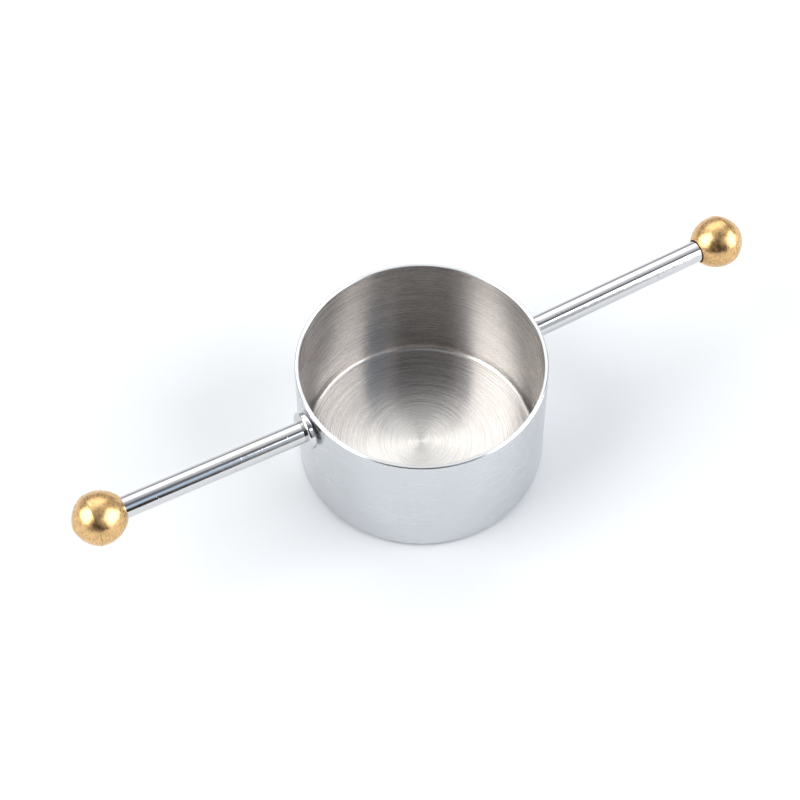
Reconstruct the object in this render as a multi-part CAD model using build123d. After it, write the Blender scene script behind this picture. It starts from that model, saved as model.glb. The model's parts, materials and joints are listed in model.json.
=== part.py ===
from build123d import *
from math import cos, radians, sin
import os

# Bar jigger: one straight steel measuring cup with a round handle on each side, each handle
# ending in a turned brass knob. The handle on the +X side is welded to the cup. The handle on
# the -X side turns about its own axis on a headed stud, and a collared bush traps the stud.
# Millimetres. The origin is the centre of the cup's underside, +Z is up through the mouth.

# Cup
cup_diameter = 53.2          # outside
cup_height = 30.0
cup_wall = 0.9
cup_floor = 0.8
base_edge_radius = 1.4       # outside, where the wall turns under
floor_edge_radius = 1.3      # inside, where the wall meets the floor
rim_outer_edge_radius = 0.35     # the flat rim's edge towards the outside
rim_inner_edge_radius = 0.22     # and towards the mouth

# Handles
handle_diameter = 4.75
handle_drop = 5.65           # from the rim down to the handle's axis, at the wall
handle_rise = 2.0            # degrees that each axis climbs on its way out
handle_reach = 47.6          # along the axis, from the wall to the middle of the knob

# Knobs
knob_diameter = 11.2
knob_widest = 0.55           # the widest place, outward from the middle
knob_crease = 1.76           # the crease, outward from the middle
knob_crease_drop = 0.18      # radius lost from the widest place to the crease
knob_shoulder = 3.85         # halfway round the nose, outward from the middle
knob_shoulder_drop = 1.62    # radius lost from the widest place to there
knob_nose = 5.76             # the tip, outward from the middle
knob_mouth = 5.2             # the small flat that the rod goes in through, inward from the middle
knob_mouth_land = 0.1        # that flat's width around the counterbore
knob_counterbore = 1.6       # deep
knob_counterbore_clearance = 0.3     # radial, around the rod

# Threaded end of each rod, screwed into its knob
tenon_diameter = 3.0
tenon_length = 5.0
tapped_hole_spare = 1.0      # the hole is this much deeper than the tenon

# Swivel
collar_diameter = 8.4
collar_thickness = 1.4
collar_outer_edge = 0.5      # rounding towards the knob
collar_inner_edge = 0.25     # rounding towards the cup
collar_gap = 0.35            # between the cup's wall and the collar
stud_diameter = 2.4
stud_clearance = 0.05        # radial, between the stud and the bush
stud_head_lip = 0.25         # radial, how far the head laps over the bush's end
stud_head_length = 1.2
stud_head_clearance = 0.1    # along the axis, on each side of the head
bush_wall = 0.45             # of the spigot, which is pressed into the hollow end of the rod
bush_spigot_length = 2.5

cup_radius = cup_diameter / 2
rod_radius = handle_diameter / 2
axis_height = cup_height - handle_drop
climb = radians(handle_rise)
rod_end = handle_reach - knob_mouth + knob_counterbore
knob_radius = knob_diameter / 2
counterbore_radius = rod_radius + knob_counterbore_clearance
stud_radius = stud_diameter / 2
bush_bore_radius = stud_radius + stud_clearance
spigot_radius = bush_bore_radius + bush_wall
collar_face = collar_gap + collar_thickness
spigot_end = collar_face + bush_spigot_length
head_start = spigot_end + stud_head_clearance
head_end = head_start + stud_head_length
hollow_end = head_end + stud_head_clearance


def turned(radius, start, end):
    """A round bar on +Z between two heights."""
    return Pos(0, 0, start) * Cylinder(radius, end - start, align=(Align.CENTER, Align.CENTER, Align.MIN))


def on_side(side, piece):
    """Put a piece turned about +Z, with its foot at the wall, on the +X (1) or -X (-1) side."""
    outward = Vector(side * cos(climb), 0, sin(climb))
    return Plane(origin=(side * cup_radius, 0, axis_height), x_dir=(0, 1, 0), z_dir=outward) * piece


def coped(piece):
    """Cut a bar that starts inside the wall back to the wall's round face, where it is welded."""
    return piece - turned(cup_radius, -cup_height, 2 * cup_height)


def make_cup():
    """Straight wall, flat floor, rounded foot and a flat rim with softened edges."""
    outside = turned(cup_radius, 0, cup_height)
    outside = fillet(outside.edges().sort_by(Axis.Z)[0], base_edge_radius)
    outside = fillet(outside.edges().sort_by(Axis.Z)[-1], rim_outer_edge_radius)
    inside = turned(cup_radius - cup_wall, cup_floor, cup_height + 1)
    inside = fillet(inside.edges().sort_by(Axis.Z)[0], floor_edge_radius)
    cup = outside - inside
    mouth_edge = cup.edges().filter_by(GeomType.CIRCLE).group_by(Axis.Z)[-1].sort_by(SortBy.RADIUS)[0]
    return fillet(mouth_edge, rim_inner_edge_radius)


def make_knob():
    """Turned ball: a round back, a crease in front of the middle and a slightly pointed nose."""
    mouth = (counterbore_radius + knob_mouth_land, -knob_mouth)
    crease = (knob_radius - knob_crease_drop, knob_crease)
    shoulder = (knob_radius - knob_shoulder_drop, knob_shoulder)
    tip = (0, knob_nose)
    back = ThreePointArc(mouth, (knob_radius, knob_widest), crease)
    nose = ThreePointArc(crease, shoulder, tip)
    # These arcs bend about points across the axis. Turned as arcs they would give a torus that
    # passes through itself, so they are turned as splines.
    curves = [arc.edge().to_splines() for arc in (back, nose)]
    closing = Polyline(tip, (0, -knob_mouth), mouth)
    ball = revolve(Plane.XZ * make_face([*curves, *closing.edges()]), Axis.Z)
    counterbore = turned(counterbore_radius, -knob_mouth - 1, knob_counterbore - knob_mouth)
    tapped_end = knob_counterbore + tenon_length + tapped_hole_spare
    tapped_hole = turned(tenon_diameter / 2, -knob_mouth, tapped_end - knob_mouth)
    return Pos(0, 0, handle_reach) * (ball - counterbore - tapped_hole)


def make_rod(start):
    """Plain round bar from a given distance off the wall, with its threaded tenon."""
    tenon = turned(tenon_diameter / 2, rod_end, rod_end + tenon_length)
    return turned(rod_radius, start, rod_end) + tenon


def make_hollow_rod():
    """The turning rod: its inner end is bored to take the bush and clear the stud's head."""
    return make_rod(collar_face) - turned(spigot_radius, collar_face, hollow_end)


def make_collar_bush():
    """Collar with a spigot, bored to run on the stud."""
    collar = turned(collar_diameter / 2, collar_gap, collar_face)
    for end, rounding in ((-1, collar_outer_edge), (0, collar_inner_edge)):
        edge = collar.edges().filter_by(GeomType.CIRCLE).sort_by(Axis.Z)[end]
        collar = fillet(edge, rounding)
    spigot = turned(spigot_radius, collar_face, spigot_end)
    return collar + spigot - turned(bush_bore_radius, collar_gap, spigot_end)


def make_pivot_stud():
    """Headed stud whose foot is welded to the wall; the head holds the bush."""
    shank = turned(stud_radius, -stud_radius, head_start)
    return shank + turned(bush_bore_radius + stud_head_lip, head_start, head_end)


fixed, swivel = 1, -1
nodes = {
    "cup": make_cup(),
    "fixed_handle_rod": coped(on_side(fixed, make_rod(-rod_radius))),
    "fixed_handle_knob": on_side(fixed, make_knob()),
    "pivot_stud": coped(on_side(swivel, make_pivot_stud())),
    "collar_bush": on_side(swivel, make_collar_bush()),
    "swivel_handle_rod": on_side(swivel, make_hollow_rod()),
    "swivel_handle_knob": on_side(swivel, make_knob()),
}

os.makedirs("parts", exist_ok=True)
for name, shape in nodes.items():
    export_step(shape, f"parts/{name}.step")
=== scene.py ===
import json
import math

import bpy
import numpy as np
from mathutils import Matrix, Vector


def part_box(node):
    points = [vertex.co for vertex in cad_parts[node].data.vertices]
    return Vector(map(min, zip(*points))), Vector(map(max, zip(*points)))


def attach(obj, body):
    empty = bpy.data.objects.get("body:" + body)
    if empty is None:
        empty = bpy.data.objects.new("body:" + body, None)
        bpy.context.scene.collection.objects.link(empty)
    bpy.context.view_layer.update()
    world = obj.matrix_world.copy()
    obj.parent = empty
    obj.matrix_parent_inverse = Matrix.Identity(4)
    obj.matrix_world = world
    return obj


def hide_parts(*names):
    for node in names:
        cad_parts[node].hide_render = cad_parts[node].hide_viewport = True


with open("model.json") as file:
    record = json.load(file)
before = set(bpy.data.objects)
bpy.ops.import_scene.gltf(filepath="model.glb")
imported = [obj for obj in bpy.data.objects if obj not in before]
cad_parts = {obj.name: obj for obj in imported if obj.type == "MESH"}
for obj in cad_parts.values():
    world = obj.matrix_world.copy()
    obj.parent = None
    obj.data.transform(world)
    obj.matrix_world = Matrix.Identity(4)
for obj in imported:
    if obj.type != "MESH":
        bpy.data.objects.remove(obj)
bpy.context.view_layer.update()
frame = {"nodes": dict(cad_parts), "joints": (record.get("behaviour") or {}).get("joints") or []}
mm = 0.001
sharpAngle = math.radians(28)     # edges that turn more than this stay crisp
print("frame loaded:", len(frame["nodes"]), "nodes")


def run(*points):
    # straight stretches, with an extra ring close to each end so that shading stays flat between them
    rows = []
    for a, b in zip(points[:-1], points[1:]):
        a, b = np.array(a, float), np.array(b, float)
        near = min(0.3, 0.06 * mm / max(np.linalg.norm(b - a), 1e-9))
        for t in (0, near, 0.5, 1 - near, 1):
            rows.append(a + (b - a) * t)
    return np.array(rows)


def bend(centre, radius, start, end, count=9):
    # round stretch: centre plus radius times (cos, sin) of an angle in degrees
    a = np.radians(np.linspace(start, end, count))
    return np.stack([centre[0] + radius * np.cos(a), centre[1] + radius * np.sin(a)], 1)


def bow(a, b, c, count):
    # the circle through three points, from the first to the last by way of the middle one
    (ax, ay), (bx, by), (cx, cy) = a, b, c
    aa, bb, cc = ax**2 + ay**2, bx**2 + by**2, cx**2 + cy**2
    d = 2 * (ax * (by - cy) + bx * (cy - ay) + cx * (ay - by))
    ux = (aa * (by - cy) + bb * (cy - ay) + cc * (ay - by)) / d
    uy = (aa * (cx - bx) + bb * (ax - cx) + cc * (bx - ax)) / d
    first = math.degrees(math.atan2(ay - uy, ax - ux))
    last = math.degrees(math.atan2(cy - uy, cx - ux))
    return bend((ux, uy), math.hypot(ax - ux, ay - uy), first, last, count)


def outline(*stretches):
    # joins (points, zone) stretches into one outline of (radius, height) rows, and a zone for each gap
    rows, zones = [], []
    for points, zone in stretches:
        for p in points:
            if rows and np.linalg.norm(p - rows[-1]) < 1e-7:
                continue
            if rows:
                zones.append(zone)
            rows.append(p)
    return np.array(rows), np.array(zones)


def plainOutline(*stretches):
    # an outline that wears one finish all over
    return outline(*((points, 0) for points in stretches))


def turnedPiece(name, rows, zones, axis, steps, ring=False, seat=None):
    # Each outline row (r, h) goes round the axis: foot + r (cos a side + sin a up) + h out.
    # Rows below h = 0 are slid along the axis on to the cup's wall, of radius seat:
    # the h at which the point's distance from the cup's own axis is that radius.
    foot, out = (np.array(v, float) for v in axis)
    side = np.array([0.0, 1.0, 0.0]) if abs(out[2]) < 0.9 else np.array([1.0, 0.0, 0.0])
    up = np.cross(out, side)
    a = np.linspace(0, 2 * np.pi, steps, endpoint=False)
    r, h = rows[:, 0, None], np.repeat(rows[:, 1, None], steps, 1)
    across = foot + r[..., None] * (np.cos(a)[:, None] * side + np.sin(a)[:, None] * up)
    if seat:
        flat, slope = across[..., :2], out[:2]
        b = flat @ slope
        c = (flat**2).sum(-1) - seat**2
        h = np.where(h < 0, (-b + np.sqrt(b**2 - (slope @ slope) * c)) / (slope @ slope), h)
    points = (across + h[..., None] * out).reshape(-1, 3)

    # one quad between each two rows and each two steps, and a ring's last row joins its first
    gaps = len(rows) if ring else len(rows) - 1
    i, j = np.meshgrid(np.arange(gaps), np.arange(steps), indexing="ij")
    nextI, nextJ = (i + 1) % len(rows), (j + 1) % steps
    quads = np.stack([i * steps + j, i * steps + nextJ, nextI * steps + nextJ, nextI * steps + j], -1)
    quads = quads.reshape(-1, 4)
    zone = np.repeat(np.resize(zones, gaps), steps)
    if not ring:
        # the first and last rows lie on the axis, so each closes in one point
        for row in (0, len(rows) - 1):
            quads = np.where(quads // steps == row, row * steps, quads)
    corners = [points[quads[:, k]] for k in range(4)]
    volume = sum((corners[0] * np.cross(corners[k], corners[k + 1])).sum() for k in (1, 2))
    if volume < 0:     # faces point outward
        quads = quads[:, ::-1]

    used, index = np.unique(quads, return_inverse=True)
    faces = [list(dict.fromkeys(q)) for q in index.reshape(-1, 4).tolist()]
    mesh = bpy.data.meshes.new(name)
    mesh.from_pydata(points[used].tolist(), [], faces)
    mesh.polygons.foreach_set("material_index", zone.astype(np.int32))
    mesh.shade_smooth()
    mesh.set_sharp_from_angle(angle=sharpAngle)
    mesh.update()
    piece = bpy.data.objects.new(name, mesh)
    bpy.context.scene.collection.objects.link(piece)
    return piece


def place(piece, node, body, slot, *finishes):
    # the piece stands for its node, rides on its body, and wears one material for each zone
    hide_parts(node)
    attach(piece, body)
    for finish in finishes:
        piece.data.materials.append(finish)


def addNode(tree, kind, inputs=None, **settings):
    # an input is another node's output, which is linked, or a plain value
    node = tree.nodes.new(kind)
    for key, value in settings.items():
        setattr(node, key, value)
    for key, value in (inputs or {}).items():
        if isinstance(value, bpy.types.NodeSocket):
            tree.links.new(value, node.inputs[key])
        else:
            node.inputs[key].default_value = value
    return node


def sums(tree, operation, *values):
    return addNode(tree, "ShaderNodeMath", dict(enumerate(values)), operation=operation).outputs[0]


def weigh(tree, a, aShare, b, bShare):
    return sums(tree, "ADD", sums(tree, "MULTIPLY", a, aShare), sums(tree, "MULTIPLY", b, bShare))


def spread(tree, value, low, high, newLow=0.0, newHigh=1.0, interpolation="SMOOTHSTEP"):
    # takes a value from one range to another, held at both ends
    inputs = {"Value": value, "From Min": low, "From Max": high, "To Min": newLow, "To Max": newHigh}
    return addNode(tree, "ShaderNodeMapRange", inputs, interpolation_type=interpolation).outputs[0]


def mixColour(tree, factor, a, b):
    return addNode(tree, "ShaderNodeMix", {0: factor, 6: a, 7: b}, data_type="RGBA").outputs[2]


def noise(tree, where, scale, detail, roughness=0.5):
    inputs = {"Vector": where, "Scale": scale, "Detail": detail, "Roughness": roughness}
    return addNode(tree, "ShaderNodeTexNoise", inputs).outputs["Fac"]


def heightOf(tree, position):
    return addNode(tree, "ShaderNodeSeparateXYZ", {0: position}).outputs[2]


def fromAxis(tree, position):
    # the part of a position that is square to Z, and how long that is
    parts = addNode(tree, "ShaderNodeSeparateXYZ", {0: position}).outputs
    level = addNode(tree, "ShaderNodeCombineXYZ", {0: parts[0], 1: parts[1]}).outputs[0]
    radius = addNode(tree, "ShaderNodeVectorMath", {0: level}, operation="LENGTH").outputs["Value"]
    return level, radius


def newGroup(name, inputs, outputs):
    tree = bpy.data.node_groups.new(name, "ShaderNodeTree")
    for label, kind, value in inputs:
        socket = tree.interface.new_socket(label, in_out="INPUT", socket_type=kind)
        if value is not None:
            socket.default_value = value
    for label, kind in outputs:
        tree.interface.new_socket(label, in_out="OUTPUT", socket_type=kind)
    return tree, tree.nodes.new("NodeGroupInput").outputs, tree.nodes.new("NodeGroupOutput").inputs


def useGroup(tree, group, **inputs):
    return addNode(tree, "ShaderNodeGroup", inputs, node_tree=group).outputs


floatSocket, vectorSocket = "NodeSocketFloat", "NodeSocketVector"


def makeToolLines():
    # Fine rings left by a tool or an abrasive that goes round an axis. The noise is read at
    # (cos a, sin a) times Arc and at the place along the outline times Pitch, so it stretches into arcs.
    tree, given, result = newGroup(
        "toolLines",
        [("Position", vectorSocket, None), ("Along", floatSocket, 0.0), ("Pitch", floatSocket, 3000.0),
         ("Arc", floatSocket, 2.0), ("Fade Radius", floatSocket, 0.0005)],
        [("Lines", floatSocket)])
    level, radius = fromAxis(tree, given["Position"])
    around = addNode(tree, "ShaderNodeVectorMath", {0: level}, operation="NORMALIZE").outputs[0]
    turn = addNode(tree, "ShaderNodeSeparateXYZ", {0: around}).outputs
    fade = spread(tree, radius, 0.0, given["Fade Radius"])

    def layer(pitchShare, arcShare, detail):
        arc = sums(tree, "MULTIPLY", given["Arc"], arcShare)
        pitch = sums(tree, "MULTIPLY", given["Pitch"], pitchShare)
        where = addNode(tree, "ShaderNodeCombineXYZ", {
            0: sums(tree, "MULTIPLY", turn[0], arc),
            1: sums(tree, "MULTIPLY", turn[1], arc),
            2: sums(tree, "MULTIPLY", given["Along"], pitch)}).outputs[0]
        return noise(tree, where, 1.0, detail, 0.6)

    fine = layer(1.0, 1.0, 3.0)
    broad = layer(0.3, 0.6, 2.0)
    both = weigh(tree, fine, 0.85, broad, 0.15)
    centred = sums(tree, "MULTIPLY", sums(tree, "SUBTRACT", both, 0.5), fade)
    tree.links.new(sums(tree, "ADD", centred, 0.5), result["Lines"])
    return tree


def makeHandling():
    # marks of use: small nicks where a fine noise peaks, and a soft cloud of smears
    tree, given, result = newGroup(
        "handling",
        [("Position", vectorSocket, None), ("Nick Scale", floatSocket, 900.0),
         ("Smear Scale", floatSocket, 60.0)],
        [("Nicks", floatSocket), ("Smears", floatSocket)])
    small = noise(tree, given["Position"], given["Nick Scale"], 2.0, 0.7)
    cloud = noise(tree, given["Position"], given["Smear Scale"], 3.0, 0.55)
    tree.links.new(spread(tree, small, 0.66, 0.76), result["Nicks"])
    tree.links.new(cloud, result["Smears"])
    return tree


toolLines = makeToolLines()
handling = makeHandling()


def newFinish(name, colour, roughness, brushing=0.0):
    # a plain metal finish: its tree, its shader and the object's own coordinates.
    # Brushing spreads the gloss across the rings, so it is turned a quarter from the ring's own direction.
    finish = bpy.data.materials.new(name)
    finish.use_nodes = True
    tree = finish.node_tree
    shader = tree.nodes["Principled BSDF"]
    shader.inputs["Base Color"].default_value = colour
    shader.inputs["Metallic"].default_value = 1.0
    shader.inputs["Roughness"].default_value = roughness
    shader.inputs["Anisotropic"].default_value = brushing
    shader.inputs["Anisotropic Rotation"].default_value = 0.25
    here = addNode(tree, "ShaderNodeTexCoord").outputs["Object"]
    return finish, tree, shader, here


def tint(colour, amount):
    return tuple(min(1.0, c * amount) for c in colour[:3]) + (1.0,)


def shadeBy(tree, value, low, high, colour, dark, light):
    # the colour times dark where the value is low, and times light where it is high
    return mixColour(tree, spread(tree, value, low, high), tint(colour, dark), tint(colour, light))


def paint(tree, shader, colour):
    tree.links.new(colour, shader.inputs["Base Color"])


def varyRoughness(tree, shader, value, low, high):
    rough = spread(tree, value, 0.25, 0.75, low, high, interpolation="LINEAR")
    tree.links.new(rough, shader.inputs["Roughness"])


def emboss(tree, shader, height, distance):
    bump = addNode(tree, "ShaderNodeBump", {"Height": height, "Distance": distance})
    tree.links.new(bump.outputs[0], shader.inputs["Normal"])


def followRings(tree, shader):
    # the brushing runs round the cup's upright axis
    tangent = addNode(tree, "ShaderNodeTangent", direction_type="RADIAL", axis="Z")
    tree.links.new(tangent.outputs[0], shader.inputs["Tangent"])


cupLow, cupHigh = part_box("cup")
cup = {
    "radius": (cupHigh.x - cupLow.x) / 2,
    "height": cupHigh.z,
    "wall": 0.9 * mm,
    "floor": 0.8 * mm,
    "footBend": 1.4 * mm,
    "floorBend": 1.3 * mm,
    "rimOuterBend": 0.35 * mm,
    "rimInnerBend": 0.22 * mm,
    "steel": (0.655, 0.668, 0.69, 1.0),
    # painted shade: the steel of the inside wall is darker and warmer than the same steel outside
    "shadedInsideSteel": (0.56, 0.535, 0.52, 1.0),
    # painted shade: the steel of the inside floor is darker than the same steel outside
    "shadedFloorSteel": (0.575, 0.562, 0.555, 1.0),
    "satinRoughness": (0.25, 0.29),
    "insideRoughness": (0.2, 0.32),
    "floorRoughness": (0.2, 0.32),
    "rimRoughness": (0.3, 0.4),
    "edgeRoughness": (0.1, 0.18),
    "brushing": 0.96,
    "satinLines": {"Pitch": 7000.0, "Arc": 2.0},
    "rimLines": {"Pitch": 9000.0, "Arc": 3.0},
    "insideLines": {"Pitch": 6200.0, "Arc": 1.4},
    "floorLines": {"Pitch": 5000.0, "Arc": 1.0},
    "edgeMarks": {"Smear Scale": 140.0},
    "satinDepth": 0.0002 * mm,
    "insideDepth": 0.003 * mm,
    "floorDepth": (0.007 * mm, 0.003 * mm),     # near the middle, and further out
    "floorDepthRadius": (3 * mm, 10 * mm),
}


def satinOutside():
    finish, tree, shader, here = newFinish("satinOutside", cup["steel"], 0.27)
    height = heightOf(tree, here)
    lines = useGroup(tree, toolLines, Position=here, Along=height, **cup["satinLines"])["Lines"]
    marks = useGroup(tree, handling, Position=here)
    both = weigh(tree, lines, 0.6, marks["Smears"], 0.4)
    varyRoughness(tree, shader, both, *cup["satinRoughness"])
    paint(tree, shader, shadeBy(tree, both, 0.35, 0.65, cup["steel"], 0.985, 1.01))
    emboss(tree, shader, lines, cup["satinDepth"])
    followRings(tree, shader)
    return finish


def brushedRim():
    finish, tree, shader, here = newFinish("brushedRim", cup["steel"], 0.35, cup["brushing"])
    radius = fromAxis(tree, here)[1]
    lines = useGroup(tree, toolLines, Position=here, Along=radius, **cup["rimLines"])["Lines"]
    varyRoughness(tree, shader, lines, *cup["rimRoughness"])
    followRings(tree, shader)
    return finish


def polishedEdge():
    finish, tree, shader, here = newFinish("polishedEdge", cup["steel"], 0.12)
    marks = useGroup(tree, handling, Position=here, **cup["edgeMarks"])
    varyRoughness(tree, shader, marks["Smears"], *cup["edgeRoughness"])
    return finish


def brushedInside():
    # painted shade: the inside wall starts from a darker, warmer copy of the cup's steel
    finish, tree, shader, here = newFinish("brushedInside", cup["shadedInsideSteel"], 0.3, cup["brushing"])
    height = heightOf(tree, here)
    lines = useGroup(tree, toolLines, Position=here, Along=height, **cup["insideLines"])["Lines"]
    paint(tree, shader, shadeBy(tree, lines, 0.36, 0.64, cup["shadedInsideSteel"], 0.8, 1.2))
    varyRoughness(tree, shader, lines, *cup["insideRoughness"])
    emboss(tree, shader, lines, cup["insideDepth"])
    followRings(tree, shader)
    return finish


def turnedFloor():
    # painted shade: the inside floor starts from a darker copy of the cup's steel
    finish, tree, shader, here = newFinish("turnedFloor", cup["shadedFloorSteel"], 0.3, cup["brushing"])
    radius = fromAxis(tree, here)[1]
    lines = useGroup(tree, toolLines, Position=here, Along=radius, **cup["floorLines"])["Lines"]
    paint(tree, shader, shadeBy(tree, lines, 0.36, 0.64, cup["shadedFloorSteel"], 0.84, 1.16))
    varyRoughness(tree, shader, lines, *cup["floorRoughness"])
    emboss(tree, shader, lines, spread(tree, radius, *cup["floorDepthRadius"], *cup["floorDepth"]))
    followRings(tree, shader)
    return finish


def makeCup():
    radius, top, wall = cup["radius"], cup["height"], cup["wall"]
    foot, bowl, base = cup["footBend"], cup["floorBend"], cup["floor"]
    rim, lip = cup["rimOuterBend"], cup["rimInnerBend"]
    bore = radius - wall
    outside, edge, rimTop, inside, bottom = range(5)
    rows, zones = outline(
        (run((0, 0), (radius - foot, 0)), outside),
        (bend((radius - foot, foot), foot, -90, 0, 13), outside),
        (run((radius, foot), (radius, top - rim)), outside),
        (bend((radius - rim, top - rim), rim, 0, 90), edge),
        (run((radius - rim, top), (bore + lip, top)), rimTop),
        (bend((bore + lip, top - lip), lip, 90, 180), rimTop),
        (run((bore, top - lip), (bore, base + bowl)), inside),
        (bend((bore - bowl, base + bowl), bowl, 0, -90, 13), inside),
        (run((bore - bowl, base), (0, base)), bottom))
    piece = turnedPiece("cupShell", rows, zones, ((0, 0, 0), (0, 0, 1)), steps=320)
    place(piece, "cup", "cup_body", "satin_steel",
          satinOutside(), polishedEdge(), brushedRim(), brushedInside(), turnedFloor())


makeCup()
print("cup made")

swivel = frame["joints"][0]
swivelAxis = (Vector(swivel["pos_m"]), Vector(swivel["axis"]))
mirrorX = Matrix.Scale(-1, 3, (1, 0, 0))
fixedAxis = tuple(mirrorX @ v for v in swivelAxis)


def alongAxis(tree, here, axis, start=0.0):
    # object coordinates turned so that Z runs out along a handle, from a point on its axis
    foot, out = axis
    turn = out.to_track_quat("Z", "Y").to_euler()
    inputs = {"Vector": here, "Location": foot + out * start, "Rotation": turn}
    return addNode(tree, "ShaderNodeMapping", inputs, vector_type="TEXTURE").outputs[0]


knob = {
    "reach": 47.6 * mm,
    "radius": 5.6 * mm,
    "widest": 0.55 * mm,
    "crease": (5.42 * mm, 1.76 * mm),
    "shoulder": (3.98 * mm, 3.85 * mm),
    "nose": 5.76 * mm,
    "mouth": -5.2 * mm,
    "land": 0.1 * mm,
    "counterbore": 1.6 * mm,
    "play": 0.3 * mm,
    "hole": 6.0 * mm,
    "brass": (0.72, 0.46, 0.21, 1.0),
    "roughness": (0.19, 0.37),
    "lines": {"Pitch": 3000.0, "Arc": 5.0},
    "marks": {"Nick Scale": 2300.0, "Smear Scale": 1300.0},
    "depth": 0.02 * mm,
    "creaseShadeWidth": (0.03 * mm, 0.12 * mm),     # width of the painted shade along the crease, on each side of the crease
}


def satinBrass(name, axis):
    finish, tree, shader, here = newFinish(name, knob["brass"], 0.26)
    local = alongAxis(tree, here, axis, knob["reach"])
    out = heightOf(tree, local)
    lines = useGroup(tree, toolLines, Position=local, Along=out, **knob["lines"])["Lines"]
    marks = useGroup(tree, handling, Position=local, **knob["marks"])
    both = weigh(tree, lines, 0.55, marks["Smears"], 0.45)
    varyRoughness(tree, shader, both, *knob["roughness"])
    aged = shadeBy(tree, both, 0.36, 0.64, knob["brass"], 0.78, 1.16)
    pitted = mixColour(tree, marks["Nicks"], aged, tint(knob["brass"], 0.55))
    # painted shade: a thin dark line along the crease where the two curves meet, mixed into the brass colour
    offCrease = sums(tree, "ABSOLUTE", sums(tree, "SUBTRACT", out, knob["crease"][1]))
    creaseShade = spread(tree, offCrease, *knob["creaseShadeWidth"], 0.5, 0.0)
    paint(tree, shader, mixColour(tree, creaseShade, pitted, tint(knob["brass"], 0.3)))
    height = sums(tree, "SUBTRACT", both, sums(tree, "MULTIPLY", marks["Nicks"], 0.5))
    emboss(tree, shader, height, knob["depth"])
    return finish


def makeKnob(name, node, body, axis, finish):
    mouth, widest = knob["mouth"], (knob["radius"], knob["widest"])
    bore, hole = rod["radius"] + knob["play"], rod["tenonRadius"]
    land = (bore + knob["land"], mouth)
    seat = mouth + knob["counterbore"]
    bottom = seat + knob["hole"]
    rows, zones = plainOutline(
        bow((0, knob["nose"]), knob["shoulder"], knob["crease"], 36),
        bow(knob["crease"], widest, land, 48),
        run(land, (bore, mouth), (bore, seat), (hole, seat), (hole, bottom), (0, bottom)))
    rows[:, 1] += knob["reach"]
    piece = turnedPiece(name, rows, zones, axis, steps=160)
    place(piece, node, body, "brass", finish)


rod = {
    "radius": 2.375 * mm,
    "tenonRadius": 1.5 * mm,
    "tenon": 5.0 * mm,
    "chamfer": 0.2 * mm,
    "end": knob["reach"] + knob["mouth"] + knob["counterbore"],     # the full bar stops inside the knob
    "steel": (0.66, 0.66, 0.665, 1.0),
    "roughness": (0.04, 0.09),
    "lines": {"Pitch": 1500.0, "Arc": 1.0},
    "marks": {"Nick Scale": 700.0, "Smear Scale": 260.0},
    "streakScale": (5200.0, 5200.0, 260.0),
    "streaks": 0.2,
    "depth": 0.02 * mm,
}
onWall = -1 * mm     # any height below zero is slid on to the cup's wall


def polishedBar(name, axis):
    finish, tree, shader, here = newFinish(name, rod["steel"], 0.06)
    local = alongAxis(tree, here, axis)
    out = heightOf(tree, local)
    lines = useGroup(tree, toolLines, Position=local, Along=out, **rod["lines"])["Lines"]
    marks = useGroup(tree, handling, Position=local, **rod["marks"])
    varyRoughness(tree, shader, weigh(tree, lines, 0.5, marks["Smears"], 0.5), *rod["roughness"])
    paint(tree, shader, mixColour(tree, marks["Nicks"], rod["steel"], tint(rod["steel"], 0.75)))
    # the bar was drawn and buffed lengthwise, which leaves thin streaks along it
    stretched = addNode(tree, "ShaderNodeMapping", {"Vector": local, "Scale": rod["streakScale"]}).outputs[0]
    streaks = sums(tree, "MULTIPLY", noise(tree, stretched, 1.0, 2.0), rod["streaks"])
    height = sums(tree, "ADD", sums(tree, "SUBTRACT", marks["Smears"], marks["Nicks"]), streaks)
    emboss(tree, shader, height, rod["depth"])
    return finish


def barEnd():
    # the full bar's outer end and its threaded tenon, as far as the axis
    full, thin, end, cut = rod["radius"], rod["tenonRadius"], rod["end"], rod["chamfer"]
    tip = end + rod["tenon"]
    return run((full, end - cut), (full - cut, end), (thin, end),
               (thin, tip - cut), (thin - cut, tip), (0, tip))


def makeFixedRod(finish):
    clearOfWall = 0.35 * mm
    rows, zones = plainOutline(
        np.array([(rod["radius"] * t, onWall) for t in (0, 0.5, 0.97, 1)]),
        run((rod["radius"], clearOfWall), (rod["radius"], rod["end"] - rod["chamfer"])),
        barEnd())
    piece = turnedPiece("fixedRod", rows, zones, fixedAxis, steps=128, seat=cup["radius"])
    place(piece, "fixed_handle_rod", "cup_body", "polished_steel", finish)


def makeSwivelRod(finish):
    face = collar["gap"] + collar["thickness"]
    hollow = face + collar["spigot"] + stud["head"] + 2 * stud["slack"]
    full, bore = rod["radius"], collar["spigotRadius"]
    rows, zones = plainOutline(
        run((0, hollow), (bore, hollow), (bore, face), (full, face), (full, rod["end"] - rod["chamfer"])),
        barEnd())
    piece = turnedPiece("swivelRod", rows, zones, swivelAxis, steps=128)
    place(piece, "swivel_handle_rod", "swivel_handle", "polished_steel", finish)


collar = {
    "radius": 4.2 * mm,
    "gap": 0.35 * mm,
    "thickness": 1.4 * mm,
    "outerBend": 0.5 * mm,
    "innerBend": 0.25 * mm,
    "spigotRadius": 1.7 * mm,
    "spigot": 2.5 * mm,
    "boreRadius": 1.25 * mm,
}


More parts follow.
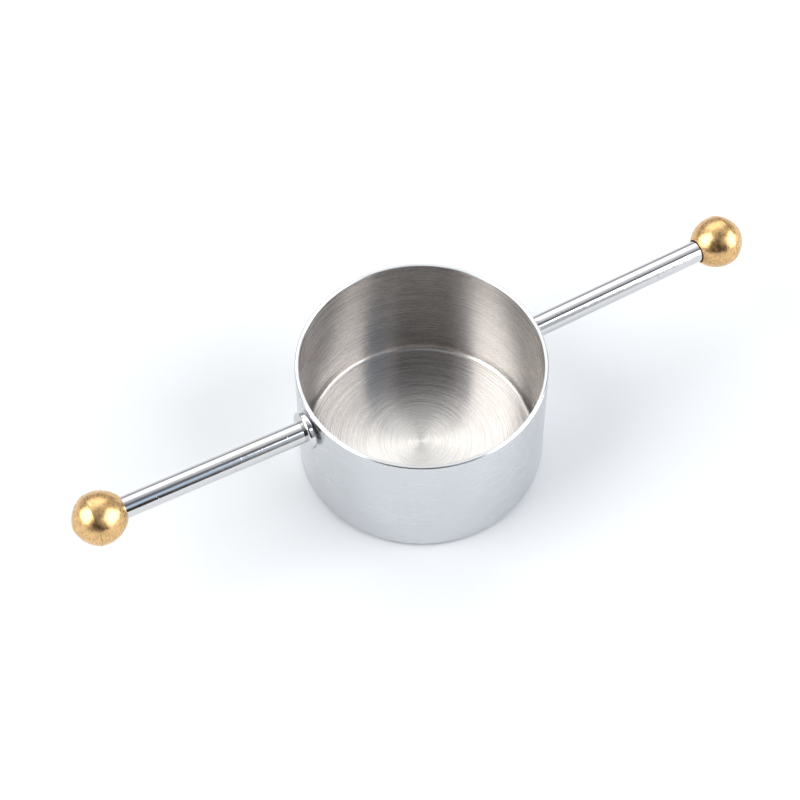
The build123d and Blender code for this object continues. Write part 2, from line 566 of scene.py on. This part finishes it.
def makeCollar(finish):
    inner, outer = collar["gap"], collar["gap"] + collar["thickness"]
    end = outer + collar["spigot"]
    wide, spigot, bore = collar["radius"], collar["spigotRadius"], collar["boreRadius"]
    small, big = collar["innerBend"], collar["outerBend"]
    lastRing = inner + 0.1 * mm     # the bore's last ring, close to where the outline joins its start
    rows, zones = plainOutline(
        run((bore, inner), (wide - small, inner)),
        bend((wide - small, inner + small), small, -90, 0),
        run((wide, inner + small), (wide, outer - big)),
        bend((wide - big, outer - big), big, 0, 90, 13),
        run((wide - big, outer), (spigot, outer), (spigot, end), (bore, end), (bore, lastRing)))
    piece = turnedPiece("collarBush", rows, zones, swivelAxis, steps=160, ring=True)
    place(piece, "collar_bush", "swivel_handle", "polished_steel", finish)


stud = {
    "radius": 1.2 * mm,
    "headRadius": 1.5 * mm,
    "head": 1.2 * mm,
    "slack": 0.1 * mm,
}


def makeStud(finish):
    neck, head = stud["radius"], stud["headRadius"]
    start = collar["gap"] + collar["thickness"] + collar["spigot"] + stud["slack"]
    end = start + stud["head"]
    clearOfWall = 0.1 * mm
    rows, zones = plainOutline(
        np.array([(neck * t, onWall) for t in (0, 0.5, 1)]),
        run((neck, clearOfWall), (neck, start), (head, start), (head, end), (0, end)))
    piece = turnedPiece("pivotStud", rows, zones, swivelAxis, steps=96, seat=cup["radius"])
    place(piece, "pivot_stud", "cup_body", "polished_steel", finish)


fixedSteel = polishedBar("polishedFixedBar", fixedAxis)
swivelSteel = polishedBar("polishedSwivelBar", swivelAxis)
makeFixedRod(fixedSteel)
makeStud(fixedSteel)
makeSwivelRod(swivelSteel)
makeCollar(swivelSteel)
fixedBrass = satinBrass("fixedBrass", fixedAxis)
makeKnob("fixedKnob", "fixed_handle_knob", "cup_body", fixedAxis, fixedBrass)
swivelBrass = satinBrass("swivelBrass", swivelAxis)
makeKnob("swivelKnob", "swivel_handle_knob", "swivel_handle", swivelAxis, swivelBrass)
print("handles made")

view = {
    "azimuth": -28.58,
    "elevation": 54.89,
    "roll": -0.21,
    "distance": 457.5 * mm,
    "lens": 98.56,
    "sensor": 36,
    "slide": -4.536 * mm,
    "lift": -7.812 * mm,
}


def makeCamera():
    # bearings start at -Y, and the camera is aimed from the middle of the cup's rim
    azimuth, elevation, roll = (math.radians(view[key]) for key in ("azimuth", "elevation", "roll"))
    back = Vector((math.sin(azimuth) * math.cos(elevation), -math.cos(azimuth) * math.cos(elevation),
                   math.sin(elevation)))
    level = Vector((math.cos(azimuth), math.sin(azimuth), 0))
    plumb = back.cross(level)
    right = math.cos(roll) * level + math.sin(roll) * plumb
    up = -math.sin(roll) * level + math.cos(roll) * plumb
    rim = Vector((0, 0, cup["height"]))
    eye = rim + right * view["slide"] + up * view["lift"] + back * view["distance"]
    data = bpy.data.cameras.new("camera")
    data.lens = view["lens"]
    data.sensor_width = view["sensor"]
    data.clip_start = 0.01
    data.clip_end = 50
    camera = bpy.data.objects.new("camera", data)
    camera.matrix_world = Matrix((
        (right.x, up.x, back.x, eye.x), (right.y, up.y, back.y, eye.y),
        (right.z, up.z, back.z, eye.z), (0, 0, 0, 1)))
    bpy.context.scene.collection.objects.link(camera)
    bpy.context.scene.camera = camera


# Soft light from a white studio: panels are (azimuth, elevation, half width, half height, edge, colour) in
# degrees, laid one over the other on an even grey, in this order
room = {
    "grey": (0.62, 0.63, 0.65, 1),
    "panels": {
        "whiteCeiling": (165, 68, 80, 8, 6, (0.97, 0.97, 0.98, 1)),
        "backWall": (170, 5, 70, 13, 8, (0.46, 0.46, 0.48, 1)),
        "blueWall": (13, 42, 8, 12, 4, (0.6, 0.78, 0.98, 1)),
        "operator": (-24, 6, 39, 24, 4, (0.055, 0.045, 0.04, 1)),
        "shoulders": (-36, 28, 24, 16, 5, (0.06, 0.05, 0.045, 1)),
        "operatorHead": (-33, 48, 28, 15, 5, (0.09, 0.076, 0.068, 1)),
        "upperFront": (-8, 70, 56, 12, 6, (0.4, 0.41, 0.43, 1)),
        "cameraRig": (33, 66, 20, 13, 4, (0.2, 0.21, 0.24, 1)),
        "boom": (60, 84, 70, 6, 4, (0.3, 0.31, 0.34, 1)),
        "backPanel": (165, 48, 41, 18, 6, (2.15, 2.15, 2.1, 1)),
        "leftPanel": (-104, 37, 27, 23, 4, (5.0, 4.95, 4.85, 1)),
        "rightPanel": (51.5, 27, 28, 23, 2.5, (4.7, 4.7, 4.7, 1)),
    },
    "seen": (1.0, 1.0, 1.0, 1),     # what the camera sees past the floor
    "floorColour": (0.7, 0.72, 0.745, 1),
    "floorRoughness": 0.9,
    "floorHalf": 4.0,
    "floorDrop": 0.02 * mm,     # below the cup's underside
}


def makeFloor():
    half, drop = room["floorHalf"], -room["floorDrop"]
    corners = [(-half, -half, drop), (half, -half, drop), (half, half, drop), (-half, half, drop)]
    mesh = bpy.data.meshes.new("floor")
    mesh.from_pydata(corners, [], [(0, 1, 2, 3)])
    floor = bpy.data.objects.new("floor", mesh)
    bpy.context.scene.collection.objects.link(floor)
    finish = bpy.data.materials.new("paleFloor")
    finish.use_nodes = True
    shader = finish.node_tree.nodes["Principled BSDF"]
    shader.inputs["Base Color"].default_value = room["floorColour"]
    shader.inputs["Roughness"].default_value = room["floorRoughness"]
    shader.inputs["Specular IOR Level"].default_value = 0.0
    mesh.materials.append(finish)


def makePanelMask():
    # 1 inside a rectangle of bearings and heights, fading over its edge: the direction is turned about Z
    # until the panel's middle lies at bearing 0, and its bearing is then atan2(x, -y)
    tree, given, result = newGroup(
        "panelMask",
        [("Direction", vectorSocket, None), ("Bearing", floatSocket, 0.0), ("Height", floatSocket, 0.0),
         ("Half Width", floatSocket, 0.5), ("Half Height", floatSocket, 0.3), ("Edge", floatSocket, 0.1)],
        [("Mask", floatSocket)])
    back = sums(tree, "MULTIPLY", given["Bearing"], -1.0)
    turned = addNode(tree, "ShaderNodeVectorRotate", {"Vector": given["Direction"], "Angle": back},
                     rotation_type="Z_AXIS").outputs[0]
    parts = addNode(tree, "ShaderNodeSeparateXYZ", {0: turned}).outputs
    bearing = sums(tree, "ARCTAN2", parts[0], sums(tree, "MULTIPLY", parts[1], -1.0))
    height = sums(tree, "SUBTRACT", sums(tree, "ARCSINE", parts[2]), given["Height"])
    masks = []
    for off, half in ((bearing, given["Half Width"]), (height, given["Half Height"])):
        inner = sums(tree, "SUBTRACT", half, given["Edge"])
        outer = sums(tree, "ADD", half, given["Edge"])
        masks.append(sums(tree, "SUBTRACT", 1.0, spread(tree, sums(tree, "ABSOLUTE", off), inner, outer)))
    tree.links.new(sums(tree, "MULTIPLY", *masks), result["Mask"])
    return tree


def makeRoom():
    world = bpy.data.worlds.new("room")
    world.use_nodes = True
    tree = world.node_tree
    direction = addNode(tree, "ShaderNodeTexCoord").outputs["Generated"]
    panelMask = makePanelMask()
    labels = ("Bearing", "Height", "Half Width", "Half Height", "Edge")
    shade = room["grey"]
    for *degrees, colour in room["panels"].values():
        angles = {label: math.radians(value) for label, value in zip(labels, degrees)}
        mask = useGroup(tree, panelMask, Direction=direction, **angles)["Mask"]
        shade = mixColour(tree, mask, shade, colour)
    isSeen = addNode(tree, "ShaderNodeLightPath").outputs["Is Camera Ray"]
    tree.links.new(mixColour(tree, isSeen, shade, room["seen"]), tree.nodes["Background"].inputs["Color"])
    bpy.context.scene.world = world


makeCamera()
makeFloor()
makeRoom()
bpy.context.scene.view_settings.view_transform = "Standard"
print("camera, floor and light made")
